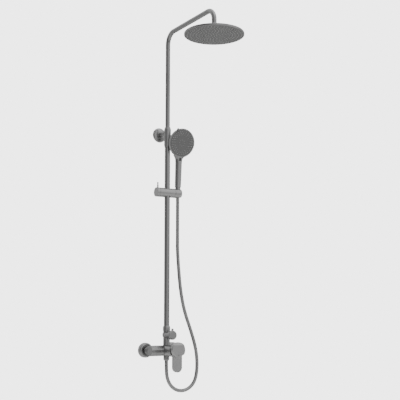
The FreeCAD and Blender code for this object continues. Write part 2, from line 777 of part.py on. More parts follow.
# ---------------------------------------------------------------- wall bracket
def make_bracket():
    height = bracket_height
    spigot, spigot_length = 6.5, 16.0
    disc = turned(
        "wall_plate_blank",
        (0, 0, height, "-Y"),
        [
            (0, 0),
            (S.plate_radius, 0),
            (S.plate_radius, S.plate_thickness),
            (spigot, S.plate_thickness),
            (spigot, S.plate_thickness + spigot_length),
            (0, S.plate_thickness + spigot_length),
        ],
    )
    holes = []
    screws = []
    for end, sign in (("top", 1), ("bottom", -1)):
        z = height + S.screw_pitch / 2 * sign
        hole_radius = S.screw_radius + S.part_gap
        holes.append(cylinder(f"plate_hole_{end}", (0, 1, z, "-Y"), hole_radius, S.plate_thickness + 2))
        screws.append(
            turned(
                f"wall_screw_{end}",
                (0, -S.plate_thickness - 2, z, "+Y"),
                [
                    (0, 0),
                    (4.0, 0),
                    (4.6, 0.8),
                    (4.6, 2),
                    (S.screw_radius - 0.2, 2),
                    (S.screw_radius - 0.2, S.plate_thickness + 3),
                    (S.screw_radius, S.plate_thickness + 3),
                    (S.screw_radius, S.screw_length),
                    (0, S.screw_length + 3),
                ],
            )
        )
    node(cut("wall_plate", disc, *holes))
    node(group("wall_screws", *screws))
    neck_end = S.wall_gap - S.sleeve_radius - 3.5
    rod = turned(
        "rod_blank",
        (0, -S.plate_thickness - 0.5, height, "-Y"),
        [
            (0, 0),
            (S.rod_radius, 0),
            (S.rod_radius, neck_end - S.plate_thickness),
            (S.rod_radius - 0.8, neck_end - S.plate_thickness + 0.8),
            (5, neck_end - S.plate_thickness + 0.8),
            (5, S.wall_gap - S.tube_radius - 1 - S.plate_thickness),
            (0, S.wall_gap - S.tube_radius - 1 - S.plate_thickness),
        ],
    )
    bore = cylinder("rod_bore", (0, 1, height, "-Y"), spigot + 0.05, S.plate_thickness + spigot_length + 2)
    grub_y = -S.plate_thickness - spigot_length + 3
    grub_hole = cylinder("rod_grub_hole", (0, grub_y, height - spigot, "-Z"), 2, 6)
    node(cut("bracket_rod", rod, bore, grub_hole))
    grub_screw = cylinder("bracket_screw", (0, grub_y, height - spigot - 0.05, "-Z"), 2, 2.2)
    wall = S.rosette_wall
    node(
        turned(
            "bracket_rosette",
            (0, 0, height, "-Y"),
            [
                (S.cap_radius - wall, 0),
                (S.cap_radius, 0),
                (S.cap_radius, 3),
                (S.cap_radius - 4, 7),
                (S.cap_radius - 12, S.cap_depth - 1.5),
                (S.rod_radius + S.running_gap, S.cap_depth),
                (S.rod_radius + S.running_gap, S.cap_depth - wall),
                (S.cap_radius - 12 - wall / 3, S.cap_depth - 1.5 - wall),
                (S.cap_radius - 4 - wall, 7 - wall),
                (S.cap_radius - wall, 3 - wall / 2),
            ],
        )
    )
    return grub_screw


# ---------------------------------------------------------------- overhead shower
def ring_places(count_step, rings, pitch, middle=True):
    """Points on concentric rings, each ring with count_step more places than the last."""
    places = [(0.0, 0.0)] if middle else []
    for k in range(1, rings + 1):
        for i in range(count_step * k):
            angle = 2 * math.pi * i / (count_step * k) + 0.12 * k
            places.append((pitch * k * math.cos(angle), pitch * k * math.sin(angle)))
    return places


def nozzle_group(label, places, foot_radius, tip_radius, length, placement):
    """Rubber nozzles as one group of separate tapered pegs."""
    pegs = [
        Part.makeCone(foot_radius, tip_radius, length, Vector(x, y, 0), Vector(0, 0, 1))
        for x, y in places
    ]
    thing = shaped(label, Part.makeCompound(pegs))
    thing.Placement = placement
    return node(thing)


def make_head():
    y = riser_y - S.arm_reach
    centre = S.ball_height
    stem_top = S.drop_end + 14
    stem = cylinder("stem_blank", (0, y, centre, "+Z"), 5, stem_top - centre)
    plug = cylinder("stem_plug", (0, y, S.drop_end, "+Z"), S.inner_radius - S.tube_wall - 0.02, 14)
    knob = ball("stem_ball", (0, y, centre, "+Z"), S.ball_radius)
    bore = cylinder("stem_bore", (0, y, centre - S.ball_radius - 1, "+Z"), 2.8, 40)
    node(cut("ball_stem", fuse("stem_solid", stem, plug, knob), bore))

    seat_outer = S.ball_radius + 2.6
    cup = ball("seat_outside", (0, y, centre, "+Z"), seat_outer)
    hollow = ball("seat_inside", (0, y, centre, "+Z"), S.ball_radius + S.running_gap)
    above = block("seat_above", (-20, y - 20, centre - 3.5), (40, 40, 40))
    drain = cylinder("seat_drain", (0, y, centre - 20, "+Z"), 4.5, 40)
    node(cut("ball_seat", cup, hollow, above, drain))

    bottom, top = S.head_bottom, S.head_bottom + S.head_thickness
    inside = S.head_radius - 3.0
    collar = S.ball_radius + 4.5
    shell = turned(
        "head_blank",
        (0, y, bottom, "+Z"),
        [
            (0, 3.2),
            (inside, 3.2),
            (inside, 0),
            (S.head_radius, 0),
            (S.head_radius, S.head_thickness),
            (collar + 8, S.head_thickness + 1),
            (collar, S.head_thickness + 3),
            (collar, centre - bottom - 1.5),
            (0, centre - bottom - 1.5),
        ],
        [(S.head_radius, 0, 1.5), (S.head_radius, S.head_thickness, 3.5)],
    )
    chamber = cylinder("head_chamber", (0, y, bottom - 1, "+Z"), S.head_radius - 8, 7)
    socket = ball("head_socket", (0, y, centre, "+Z"), seat_outer + S.running_gap)
    way = cylinder("head_way", (0, y, bottom - 1, "+Z"), 4, 30)
    node(cut("head_shell", shell, chamber, socket, way))
    node(
        turned(
            "head_plate",
            (0, y, bottom + 0.2, "+Z"),
            [(0, 0), (inside - 0.1, 0), (inside - 0.1, 2.9), (inside - 5, 2.9), (inside - 5.5, 2), (0, 2)],
        )
    )
    nut_blank = turned(
        "ball_nut_blank",
        (0, y, top + 3.2, "+Z"),
        [
            (collar + 0.02, 0),
            (collar + 2, 0),
            (collar + 2, centre - top - 3.2 + 4),
            (11, centre - top - 3.2 + 7),
            (0, centre - top - 3.2 + 7),
            (0, centre - top - 3.2 - 1.2),
            (collar + 0.02, centre - top - 3.2 - 1.2),
        ],
    )
    nut_socket = ball("nut_socket", (0, y, centre, "+Z"), S.ball_radius + S.running_gap)
    room_ball = ball("nut_room_ball", (0, y, centre, "+Z"), seat_outer + S.running_gap)
    room_low = block("nut_room_low", (-20, y - 20, centre - 20), (40, 40, 21.5))
    seat_room = common("nut_room", room_ball, room_low)
    mouth = cone("nut_mouth", (0, y, centre, "+Z"), 7.2, 9.6, 10)
    node(cut("ball_nut", nut_blank, nut_socket, seat_room, mouth))

    places = ring_places(6, 9, S.nozzle_pitch.value)
    under = FreeCAD.Placement(
        Vector(0, y.value, bottom.value + 0.2), FreeCAD.Rotation(Vector(1, 0, 0), 180)
    )
    nozzle_group("head_nozzles", places, 1.7, 1.1, 2.2, under)


# ---------------------------------------------------------------- slider and holder
def make_slider():
    height = S.slider_height
    half = S.bush_length / 2
    bush = ring(
        "slider_bush",
        (0, riser_y, height - half, "+Z"),
        S.tube_radius + S.running_gap / 2,
        S.bush_radius,
        S.bush_length,
    )
    node(bush)
    lock_face = S.slider_left - S.lock_length
    drum_length = lock_face - S.part_gap + S.slider_split
    drum = turned(
        "slider_drum",
        (-lock_face + S.part_gap, riser_y, height, "+X"),
        [(0, 0), (S.slider_radius, 0), (S.slider_radius, drum_length), (0, drum_length)],
        [(S.slider_radius, 0, 0.6), (S.slider_radius, drum_length, 0.6)],
    )
    bush_seat = S.bush_radius + S.running_gap / 2
    riser_bore = cylinder("slider_riser_bore", (0, riser_y, height - 30, "+Z"), bush_seat, 60)
    shoe_bore = cylinder("slider_shoe_bore", (-S.slider_left, riser_y, height, "+X"), 6, S.slider_left)
    pivot_bore = cylinder("slider_pivot_bore", (12, riser_y, height, "+X"), 5, S.slider_split)
    node(cut("slider_housing", drum, riser_bore, shoe_bore, pivot_bore))
    shoe_length = 7.0
    node(cylinder("brake_shoe", (-S.bush_radius - 0.1, riser_y, height, "-X"), 5.9, shoe_length))
    knob_solid = turned(
        "lock_blank",
        (-lock_face, riser_y, height, "-X"),
        [(0, 0), (S.slider_radius, 0), (S.slider_radius, S.lock_length), (0, S.lock_length)],
        [(S.slider_radius, 0, 0.6), (S.slider_radius, S.lock_length, 1.2)],
    )
    stud_length = lock_face - S.bush_radius - shoe_length - 0.4
    stud = cylinder("lock_stud", (-lock_face - 1, riser_y, height, "+X"), 4, stud_length + 1)
    pin_x = -lock_face - 4
    pin_radius = 2.4
    pin_hole = cylinder("lock_pin_hole", (pin_x, riser_y, height + 8, "+Z"), pin_radius, 20)
    node(cut("lock_knob", fuse("lock_solid", knob_solid, stud), pin_hole))
    rise = S.lock_pin_rise - 8
    bead = 3.6
    stem = cylinder("lock_pin_stem", (pin_x, riser_y, height + 8, "+Z"), pin_radius, rise - bead)
    tip = ball("lock_pin_tip", (pin_x, riser_y, height + 8 + rise - bead, "+Z"), bead)
    foot = turned(
        "lock_pin_foot",
        (pin_x, riser_y, height + S.slider_radius + 0.1, "+Z"),
        [(0, 0), (3.2, 0), (3.2, 8), (2.6, 12), (0, 12)],
    )
    node(fuse("lock_pin", stem, tip, foot))


lean_turn = FreeCAD.Rotation(Vector(1, 0, 0), LEAN)
lean_sin, lean_cos = math.sin(math.radians(LEAN)), math.cos(math.radians(LEAN))


def leaning(along, forward=0.0, across=0.0):
    """A place in the hand shower's own frame: along its handle, forward of it and across it."""
    y = riser_y - along * lean_sin - forward * lean_cos
    z = S.slider_height + along * lean_cos - forward * lean_sin
    return S.holder_offset + across, y, z


def make_holder():
    split = S.slider_split + S.part_gap
    length = S.slider_right - split
    drum = turned(
        "holder_drum",
        (split, riser_y, S.slider_height, "+X"),
        [(0, 0), (S.slider_radius, 0), (S.slider_radius, length), (0, length)],
        [(S.slider_radius, 0, 0.6), (S.slider_radius, length, 3.5)],
    )
    span = 2 * (S.slider_radius + 4)
    slope = (S.cone_top - S.cone_bottom) / (2 * S.slider_radius)
    seat = cone(
        "holder_seat",
        (*leaning(-S.slider_radius - 4), lean_turn),
        S.cone_bottom - slope * 4,
        S.cone_top + slope * 4,
        span,
    )
    screw_bore = cylinder("holder_screw_bore", (split - 1, riser_y, S.slider_height, "+X"), 3.2, 8)
    slot_width = 2 * (S.hose_radius + 0.8)
    slot = block(
        "hose_slot",
        (S.holder_offset, riser_y - slot_width / 2, S.slider_height - S.slider_radius - 1),
        (30, slot_width, 2 * S.slider_radius + 2),
    )
    node(cut("holder", drum, seat, screw_bore, slot))
    reach = S.slider_split - 18
    screw = turned(
        "holder_screw",
        (18, riser_y, S.slider_height, "+X"),
        [
            (0, 0),
            (4.9, 0),
            (4.9, 3),
            (4.9, reach - 0.2),
            (3.18, reach),
            (3.18, reach + S.part_gap + 5),
            (0, reach + S.part_gap + 5),
        ],
    )
    node(screw)


# ---------------------------------------------------------------- hand shower
def make_cone_nut():
    fit = 0.12
    slope = (S.cone_top - S.cone_bottom) / (2 * S.slider_radius)
    low = -S.slider_radius + 1
    flare = S.nut_bottom - low
    cone_low = S.cone_bottom + slope - fit
    shoulder = S.cone_top + slope * (S.nut_bottom - S.slider_radius) - fit
    depth = S.handle_bottom - low
    node(
        turned(
            "cone_nut",
            (*leaning(low), lean_turn),
            [
                (5.0, 0),
                (cone_low, 0),
                (shoulder, flare),
                (S.nut_radius - 0.8, flare),
                (S.nut_radius, flare + 0.8),
                (S.nut_radius, depth),
                (S.outlet_radius + 0.05, depth),
                (S.outlet_radius + 0.05, depth - 10),
                (5.0, depth - 10),
            ],
        )
    )
    node(ring("handset_washer", (*leaning(S.handle_bottom - 10), lean_turn), 5.5, S.outlet_radius - 0.4, 2))


def section(label, along, forward, wide, deep):
    """An ellipse across the handle."""
    oval = doc.addObject("Part::Ellipse", label)
    oval.Label = label
    bind(oval, "MajorRadius", wide)
    bind(oval, "MinorRadius", deep)
    return put(oval, *leaning(along, forward), lean_turn)


face_turn = lean_turn.multiply(FreeCAD.Rotation(Vector(1, 0, 0), 90 + FACE_TILT))


def face_place(depth, across=0.0, up=0.0):
    """A place counted from the centre of the spray face: depth goes into the shell."""
    tilt = math.radians(FACE_TILT)
    along = S.face_height + depth * math.sin(tilt) + up * math.cos(tilt)
    forward = S.face_offset - depth * math.cos(tilt) + up * math.sin(tilt)
    return leaning(along, forward, across)


def make_handset():
    thick = S.handle_radius + 1
    grip = cone("grip", (*leaning(S.handle_bottom), lean_turn), S.handle_radius, thick, S.grip_length)
    top = S.handle_bottom + S.grip_length
    flares = [(-3, 0, -0.10, -0.12), (10, 0, 1.2, -0.8), (18, 1, 6, -2), (26, 4, 14, -4)]
    neck = [
        section(f"neck_{index}", top + rise, forward, thick + wide, thick + deep)
        for index, (rise, forward, wide, deep) in enumerate(flares)
    ]
    loft = doc.addObject("Part::Loft", "neck_loft")
    loft.Sections = neck
    loft.Solid = True
    loft.Ruled = True
    rim, depth = S.shell_rim, S.shell_depth
    dish = turned(
        "dish",
        (*face_place(0), lean_turn.multiply(FreeCAD.Rotation(Vector(1, 0, 0), FACE_TILT - 90))),
        [
            (0, 0),
            (S.face_radius, 0),
            (S.face_radius, rim * 0.5),
            (S.face_radius - 2.5, rim),
            (S.face_radius - 12, rim + 4.5),
            (S.face_radius - 25, depth - 3.5),
            (S.face_radius - 40, depth - 0.8),
            (0, depth),
        ],
        [(S.face_radius, 0, 1.2)],
    )
    blank = fuse("handset_blank", grip, loft, dish)
    back_turn = lean_turn.multiply(FreeCAD.Rotation(Vector(1, 0, 0), FACE_TILT - 90))
    seat_place = (*face_place(-5), back_turn)
    seat = cylinder("spray_seat", seat_place, S.spray_radius + S.part_gap, S.plate_recess + 5)
    chamber_place = (*face_place(S.plate_recess - 1), back_turn)
    chamber = cylinder("spray_chamber", chamber_place, S.spray_radius - 14, 6)
    bore = cylinder("handle_bore", (*leaning(S.handle_bottom - 1), lean_turn), S.outlet_radius - 0.02, 112)
    insert_turn = lean_turn.multiply(FreeCAD.Rotation(Vector(1, 0, 0), 90))
    inset_blank = plate(
        "inset_tool",
        (*leaning(S.insert_start, S.handle_radius - 2.0), insert_turn),
        [(-6, 0), (6, 0), (3.6, 13.5), (-3.6, 13.5)],
        9,
    )
    node(cut("handset_shell", blank, seat, chamber, bore, inset_blank))
    node(
        turned(
            "handset_core",
            (*leaning(S.handle_bottom - 8), lean_turn),
            [
                (6.5, 0),
                (S.outlet_radius - 0.04, 0),
                (S.outlet_radius - 0.04, 116),
                (6.5, 116),
            ],
        )
    )
    node(
        plate(
            "neck_insert",
            (*leaning(S.insert_start + 0.1, S.handle_radius - 2.0), insert_turn),
            [(-5.9, 0), (5.9, 0), (3.5, 13.3), (-3.5, 13.3)],
            2.1,
        )
    )
    disc = turned(
        "spray_disc",
        (*face_place(-0.6), back_turn),
        [
            (0, 0),
            (S.spray_radius - 0.6, 0),
            (S.spray_radius, 0.6),
            (S.spray_radius, S.plate_recess + 0.6 - S.running_gap),
            (0, S.plate_recess + 0.6 - S.running_gap),
        ],
    )
    tab_turn = face_turn.multiply(FreeCAD.Rotation(Vector(0, 0, 1), 117 - 90))
    tab_length = S.face_radius + 4.5 - S.spray_radius + 4
    centre = [size(v).value for v in face_place(0)]
    tab = Part.makeBox(9, tab_length.value, 2.6, Vector(-4.5, S.spray_radius.value - 4, 0.35))
    tab = tab.makeFillet(1.1, [e for e in tab.Edges if abs(e.BoundBox.ZMin - 2.95) < 0.01])
    tab.Placement = FreeCAD.Placement(Vector(*centre), tab_turn)
    node(fuse("spray_plate", disc, shaped("spray_tab", tab)))
    places = []
    for radius, count in ((46, 30), (39.5, 24), (33, 18), (12, 8)):
        for i in range(count):
            angle = 2 * math.pi * (i + 0.5 * (count % 4)) / count
            places.append((radius * math.cos(angle), radius * math.sin(angle)))
    front = [size(v).value for v in face_place(-0.6)]
    nozzle_group("spray_nozzles", places, 1.3, 0.8, 1.6, FreeCAD.Placement(Vector(*front), face_turn))


# ---------------------------------------------------------------- hose
HOSE_LINE = S.holder_offset.value  # the hose hangs straight down from the holder
# Heights that divide its straight part, from the foot of the holder down
HOSE_CUTS = ((S.slider_height - S.slider_radius).value, 516, 431)
# The rest of the hose in the plane of the riser, as (across, height) points.
MIDDLE_ROUTE = [(48, 431), (48, 391), (51.5, 346)]
MAIN_ROUTE = [
    (51.5, 346),
    (55, 301),
    (64, 225),
    (80, 152),
    (112, 72),
    (134, 5),
    (141, -55),
    (135, -108.5),
    (117.4, -138.9),
    (87, -156.5),
    (52, -156.5),
    (21.6, -138.9),
    (4, -108.5),
    (0, -73),
    (0, -38.7),
]


def hose_path(points):
    """Straight runs joined by tangent arcs, each as large as its two runs allow."""
    edges = []
    radii = []
    start = points[0]
    for before, corner, after in zip(points, points[1:], points[2:]):
        a, b = corner - before, after - corner
        turn = a.getAngle(b)
        trim = 0.45 * min(a.Length, b.Length)
        radii.append(trim / math.tan(turn / 2))
        arc_start = corner - a.normalize() * trim
        arc_end = corner + b.normalize() * trim
        bulge = (arc_start + arc_end) / 2 - corner
        middle = corner + bulge.normalize() * (radii[-1] / math.cos(turn / 2) - radii[-1])
        edges.append(Part.LineSegment(start, arc_start).toShape())
        edges.append(Part.Arc(arc_start, middle, arc_end).toShape())
        start = arc_end
    edges.append(Part.LineSegment(start, points[-1]).toShape())
    return Part.Wire(edges), radii


def hose_tube(label, points):
    wire, radii = hose_path(points)
    radius = S.hose_radius.value
    first = (points[1] - points[0]).normalize()
    circle = Part.Wire([Part.Circle(points[0], first, radius).toShape()])
    tube = wire.makePipeShell([circle], True, False)
    share = tube.Volume / (math.pi * radius**2 * wire.Length)
    print(f"{label}: {wire.Length:.1f} mm long, volume {share:.4f} of section times length")
    if radii:
        print(f"{label}: arc radii", [round(r) for r in radii])
    return node(shaped(label, tube))


def make_hose():
    y = riser_y.value
    radius = S.hose_radius.value
    nut_foot = Vector(*[size(v).value for v in leaning(-S.slider_radius + 1)])
    foot = Part.Wire([Part.Circle(nut_foot, Vector(0, -lean_sin, lean_cos), radius).toShape()])
    end = Part.Wire([Part.Circle(Vector(HOSE_LINE, y, HOSE_CUTS[0]), Vector(0, 0, 1), radius).toShape()])
    for index, (high, low) in enumerate(zip(HOSE_CUTS, HOSE_CUTS[1:])):
        straight = Part.makeCylinder(radius, high - low, Vector(HOSE_LINE, y, low))
        if index == 0:
            straight = straight.fuse(Part.makeLoft([end, foot], True)).removeSplitter()
        node(shaped(("hose_top", "hose_upper")[index], straight))
    hose_tube("hose_middle", [Vector(x, y, z) for x, z in MIDDLE_ROUTE])
    hose_tube("hose_main", [Vector(x, y, z) for x, z in MAIN_ROUTE])
    nut_top = S.outlet_drop + 0.2
    node(
        turned(
            "hose_outlet",
            (0, riser_y, -S.outlet_drop, "-Z"),
            [(5.5, 0), (S.outlet_radius, 0), (S.outlet_radius, 8.4), (S.outlet_radius - 0.6, 9), (5.5, 9)],
        )
    )
    node(
        turned(
            "outlet_nut",
            (0, riser_y, -nut_top, "-Z"),
            [
                (S.outlet_radius + 0.05, 0),
                (S.outlet_nut_radius - 0.5, 0),
                (S.outlet_nut_radius, 0.5),
                (S.outlet_nut_radius, 11.5),
                (8.8, 16),
                (5.5, 16),
                (5.5, 10.8),
                (S.outlet_radius + 0.05, 10.8),
            ],
        )
    )


# ---------------------------------------------------------------- build, check and write
make_mixer_body()
make_supplies()
make_cartridge()
make_lever()
make_diverter()
sleeve_grub = make_riser()
bracket_grub = make_bracket()
node(group("grub_screws", sleeve_grub, bracket_grub))
make_arm()
make_head()
make_slider()
make_holder()
make_cone_nut()
make_handset()
make_hose()
doc.recompute()

faults = []
for thing in doc.Objects:
    if any(word in thing.State for word in ("Invalid", "Error")):
        faults.append(f"{thing.Label}: {thing.State}")
for label, thing in nodes.items():
    if thing.Shape.isNull() or not thing.Shape.isValid() or not thing.Shape.Solids:
        faults.append(f"{label}: shape is not a valid solid")
if faults:
    raise SystemExit("\n".join(faults))
for label, thing in nodes.items():
    thing.Shape.exportStep(os.path.join("parts", label + ".step"))
print(len(nodes), "nodes written")
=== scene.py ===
# %% [markdown]
# # A rainfall shower column
# A shower column hangs on the wall by its two water supplies and one bracket. Nearly all of it is metal
# with one satin gunmetal finish, so the eye reads it by the soft bands that run along its round pieces.
# The engineering model brings every rigid piece at its real place. This file gives each of them its
# finish, makes the hose as one smooth hanging line, and sets up a pale studio.

# %% Load the engineering model
import json
import math

import bmesh
import bpy
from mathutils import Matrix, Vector


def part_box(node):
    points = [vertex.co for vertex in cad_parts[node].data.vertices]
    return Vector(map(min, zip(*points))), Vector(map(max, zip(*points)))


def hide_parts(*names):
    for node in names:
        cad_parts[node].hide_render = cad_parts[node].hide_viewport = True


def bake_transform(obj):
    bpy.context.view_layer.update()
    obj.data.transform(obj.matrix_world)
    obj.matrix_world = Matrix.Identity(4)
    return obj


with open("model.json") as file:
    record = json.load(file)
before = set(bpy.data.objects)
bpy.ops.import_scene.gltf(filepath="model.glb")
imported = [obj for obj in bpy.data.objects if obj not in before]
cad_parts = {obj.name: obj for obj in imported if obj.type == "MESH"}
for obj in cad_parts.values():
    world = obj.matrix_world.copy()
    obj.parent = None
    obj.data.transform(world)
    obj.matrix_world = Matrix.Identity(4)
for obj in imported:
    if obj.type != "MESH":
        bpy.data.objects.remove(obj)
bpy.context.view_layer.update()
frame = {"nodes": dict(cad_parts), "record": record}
MM = 0.001

# %% [markdown]
# ## Colour and nodes
# Colours are easiest to judge as the hex values of a paint program, but Blender mixes light in linear
# numbers. One function turns the first into the second. A second one adds a shader node, sets it up and
# joins its inputs, so that each finish below reads as a short recipe.


# %% Two helpers for every finish
def linear(hex_colour):
    """An sRGB hex colour as the linear colour that Blender mixes."""
    channels = [int(hex_colour[i : i + 2], 16) / 255 for i in (1, 3, 5)]
    return [c / 12.92 if c <= 0.04045 else ((c + 0.055) / 1.055) ** 2.4 for c in channels] + [1.0]


def add_node(tree, kind, settings=None, **inputs):
    """Adds a node. Inputs go by name, or i0, i1 and so on; an output is linked, a value is set."""
    node = tree.nodes.new("ShaderNode" + kind)
    for name, value in (settings or {}).items():
        setattr(node, name, value)
    for name, value in inputs.items():
        numbered = name[0] == "i" and name[1:].isdigit()
        socket = node.inputs[int(name[1:]) if numbered else name.replace("_", " ")]
        if isinstance(value, bpy.types.NodeSocket):
            tree.links.new(value, socket)
        else:
            socket.default_value = value
    return node


def new_material(name):
    """An empty material with its shader, and the coordinates of the object in metres."""
    material = bpy.data.materials.new(name)
    material.use_nodes = True
    tree = material.node_tree
    shader = tree.nodes["Principled BSDF"]
    place = add_node(tree, "TexCoord").outputs["Object"]
    return material, tree, shader, place


print("mid grey is", round(linear("#808080")[0], 3), "in linear light")

# %% [markdown]
# ## Satin gunmetal
# The column's brass, zinc and steel pieces are polished, then brushed with a fine belt, and coated in a
# vacuum with a thin grey film (PVD). The film keeps the brush lines, which are about a tenth of a
# millimetre apart. They spread each highlight across the lines and leave it sharp along them. A fine
# noise, stretched in the direction of brushing, does the same here. Its lines are drawn three to five
# times as coarse as the real ones, so that they show from close up. A slow second noise varies
# the roughness a little, as handling and water marks do.


# %% Brushed and coated metal
def satin_gunmetal(name, colour, roughness, brushing, grain_mm=0.4, grain_depth=0.012):
    """Brushed metal under a grey vacuum coating; brushing is the axis that the lines run along."""
    material, tree, shader, place = new_material(name)
    across = 1 / (grain_mm * MM)
    along = across / 60
    stretch = [along if axis == brushing else across for axis in "XYZ"]
    lines_at = add_node(tree, "Mapping", Vector=place, Scale=stretch)
    lines = add_node(tree, "TexNoise", Vector=lines_at.outputs[0], Scale=1.0, Detail=2.0)
    cloud = add_node(tree, "TexNoise", Vector=place, Scale=1 / (35 * MM), Detail=3.0)
    polished, dulled = roughness - 0.04, roughness + 0.05
    worn = add_node(tree, "MapRange", Value=cloud.outputs[0], To_Min=polished, To_Max=dulled)
    tint_low = linear(colour)
    tint_high = [min(1.0, c * 1.10) for c in tint_low[:3]] + [1.0]
    tint = add_node(tree, "Mix", {"data_type": "RGBA"}, Factor=lines.outputs[0], i6=tint_low, i7=tint_high)
    relief = add_node(tree, "Bump", Height=lines.outputs[0], Strength=0.25, Distance=grain_depth * MM)
    tree.links.new(tint.outputs[2], shader.inputs["Base Color"])
    tree.links.new(worn.outputs[0], shader.inputs["Roughness"])
    tree.links.new(relief.outputs[0], shader.inputs["Normal"])
    shader.inputs["Metallic"].default_value = 1.0
    return material


finishes = {
    "satin_body": satin_gunmetal("gunmetal_turned_brass", "#959595", 0.34, "X"),
    "satin_tube": satin_gunmetal("gunmetal_drawn_tube", "#8e8e8e", 0.30, "Z", grain_depth=0.003),
    "satin_union": satin_gunmetal("gunmetal_turned_union", "#8c8c8c", 0.34, "Y"),
    "satin_rosette": satin_gunmetal("gunmetal_pressed_steel", "#979797", 0.32, "X"),
    "satin_lever": satin_gunmetal("gunmetal_cast_zinc", "#a5a5a5", 0.36, "Z"),
    "satin_slider": satin_gunmetal("gunmetal_turned_slider", "#a0a0a0", 0.33, "X"),
    "satin_head": satin_gunmetal("gunmetal_steel_head", "#8e8e8e", 0.34, "Y"),
    "head_plate": satin_gunmetal("gunmetal_spray_plate", "#757575", 0.40, "Y"),
}
print(len(finishes), "gunmetal finishes")

# %% [markdown]
# ## Plastics and rubber
# The hand shower is moulded ABS, plated and then coated to match the metal. Plating follows the
# moulding's slight waviness, so its highlights are a little softer than on turned metal. Its spray plate
# is bare moulded plastic with a fine spark-eroded grain, which looks dull and even. The nozzles are
# grey silicone, so a finger can rub lime off them; silicone has a soft sheen and no grain.


# %% Moulded finishes
def moulded(name, colour, roughness, grain_mm, grain_depth, metallic=0.0, ior=1.5):
    """A moulding with a fine eroded grain and a slight change of gloss over its surface."""
    material, tree, shader, place = new_material(name)
    grain = add_node(tree, "TexNoise", Vector=place, Scale=1 / (grain_mm * MM), Detail=2.0)
    cloud = add_node(tree, "TexNoise", Vector=place, Scale=1 / (20 * MM), Detail=2.0)
    glossy, dull = roughness - 0.03, roughness + 0.04
    gloss = add_node(tree, "MapRange", Value=cloud.outputs[0], To_Min=glossy, To_Max=dull)
    low = linear(colour)
    high = [min(1.0, c * 1.08) for c in low[:3]] + [1.0]
    tint = add_node(tree, "Mix", {"data_type": "RGBA"}, Factor=cloud.outputs[0], i6=low, i7=high)
    relief = add_node(tree, "Bump", Height=grain.outputs[0], Strength=0.3, Distance=grain_depth * MM)
    tree.links.new(tint.outputs[2], shader.inputs["Base Color"])
    tree.links.new(gloss.outputs[0], shader.inputs["Roughness"])
    tree.links.new(relief.outputs[0], shader.inputs["Normal"])
    shader.inputs["Metallic"].default_value = metallic
    if not metallic:
        shader.inputs["IOR"].default_value = ior
    return material


finishes.update(
    satin_handset=moulded("gunmetal_plated_ABS", "#989898", 0.36, 0.8, 0.004, metallic=1.0),
    spray_plate=moulded("grey_ABS_eroded", "#666666", 0.46, 0.35, 0.01, ior=1.54),
    neck_insert=moulded("black_ABS_insert", "#2e2e2e", 0.42, 0.35, 0.006, ior=1.54),
    nozzle_rubber=moulded("grey_silicone", "#b4b4b4", 0.55, 0.5, 0.004, ior=1.41),
    black_rubber=moulded("EPDM_seal_rubber", "#1c1c1c", 0.7, 0.4, 0.01, ior=1.52),
    black_plastic=moulded("POM_moulded_black", "#232323", 0.45, 0.4, 0.006, ior=1.48),
    white_nylon=moulded("nylon_moulded_white", "#dcdad2", 0.5, 0.5, 0.006, ior=1.53),
    ceramic=moulded("alumina_lapped", "#e6e3dc", 0.2, 0.3, 0.001, ior=1.77),
    index_plug=moulded("grey_ABS_plug", "#757575", 0.4, 0.3, 0.004, ior=1.54),
    brass=satin_gunmetal("brass_turned", "#b8925a", 0.3, "X"),
    steel=satin_gunmetal("stainless_steel_turned", "#b5b5b3", 0.32, "X"),
)
print("finishes:", ", ".join(sorted(finishes)))

# %% Give every rigid piece its finish
slot_of = {part["node"]: part["material_slot"] for part in frame["record"]["subparts"]}
for name, piece in frame["nodes"].items():
    finish = finishes.get(slot_of[name])
    if finish is None:
        continue
    piece.data.materials.clear()
    piece.data.materials.append(finish)
print(sum(1 for slot in slot_of.values() if slot in finishes), "rigid pieces finished")

# %% [markdown]
# ## The hose
# The hose is a flexible tube under a smooth silver-grey sheath, 14 mm across and almost a metre long.
# Its weight pulls it straight below the holder and its stiffness rounds the loop at the bottom. One
# smooth spline through a few listed points gives that line. The tube is swept along it in four
# lengths, one for each joint that bends or stretches the real hose: the lift of the hand shower, the
# tilt of the holder, the swivel of the slider and its slide along the riser.

# %% The line of the hose
riser_y = -70 * MM
HOSE_RADIUS = 7 * MM
HOSE_POINTS_MM = [
    (48, 602.3),
    (48, 516),
    (48, 431),
    (48, 391),
    (55, 301),
    (64, 225),
    (80, 152),
    (112, 72),
    (134, 5),
    (141, -55),
    (135, -108.5),
    (117.4, -138.9),
    (87, -156.5),
    (52, -156.5),
    (21.6, -138.9),
    (4, -108.5),
    (0, -73),
    (0, -38.7),
]


def spline_points(points):
    """Points along the smooth NURBS curve that has the given control points."""
    curve = bpy.data.curves.new("hose_line", "CURVE")
    curve.dimensions = "3D"
    curve.resolution_u = 24
    spline = curve.splines.new("NURBS")
    spline.points.add(len(points) - 1)
    for control, place in zip(spline.points, points):
        control.co = (*place, 1.0)
    spline.order_u = 3
    spline.use_endpoint_u = True
    carrier = bpy.data.objects.new("hose_line", curve)
    mesh = bpy.data.meshes.new_from_object(carrier)
    line = [v.co.copy() for v in mesh.vertices]
    bpy.data.objects.remove(carrier)
    return line


def evenly(line, step):
    """The same line with its points a step apart."""
    result = [line[0]]
    left = step
    for a, b in zip(line, line[1:]):
        length = (b - a).length
        done = 0.0
        while length - done > left:
            done += left
            result.append(a.lerp(b, done / length))
            left = step
        left -= length - done
    if (result[-1] - line[-1]).length < step / 2:
        result.pop()
    return result + [line[-1]]


RING_STEP = 1.25 * MM
hose_line = evenly(spline_points([(x * MM, riser_y, z * MM) for x, z in HOSE_POINTS_MM]), RING_STEP)
hose_length = sum((b - a).length for a, b in zip(hose_line, hose_line[1:]))
print("hose line", round(hose_length, 3), "m in", len(hose_line), "points")

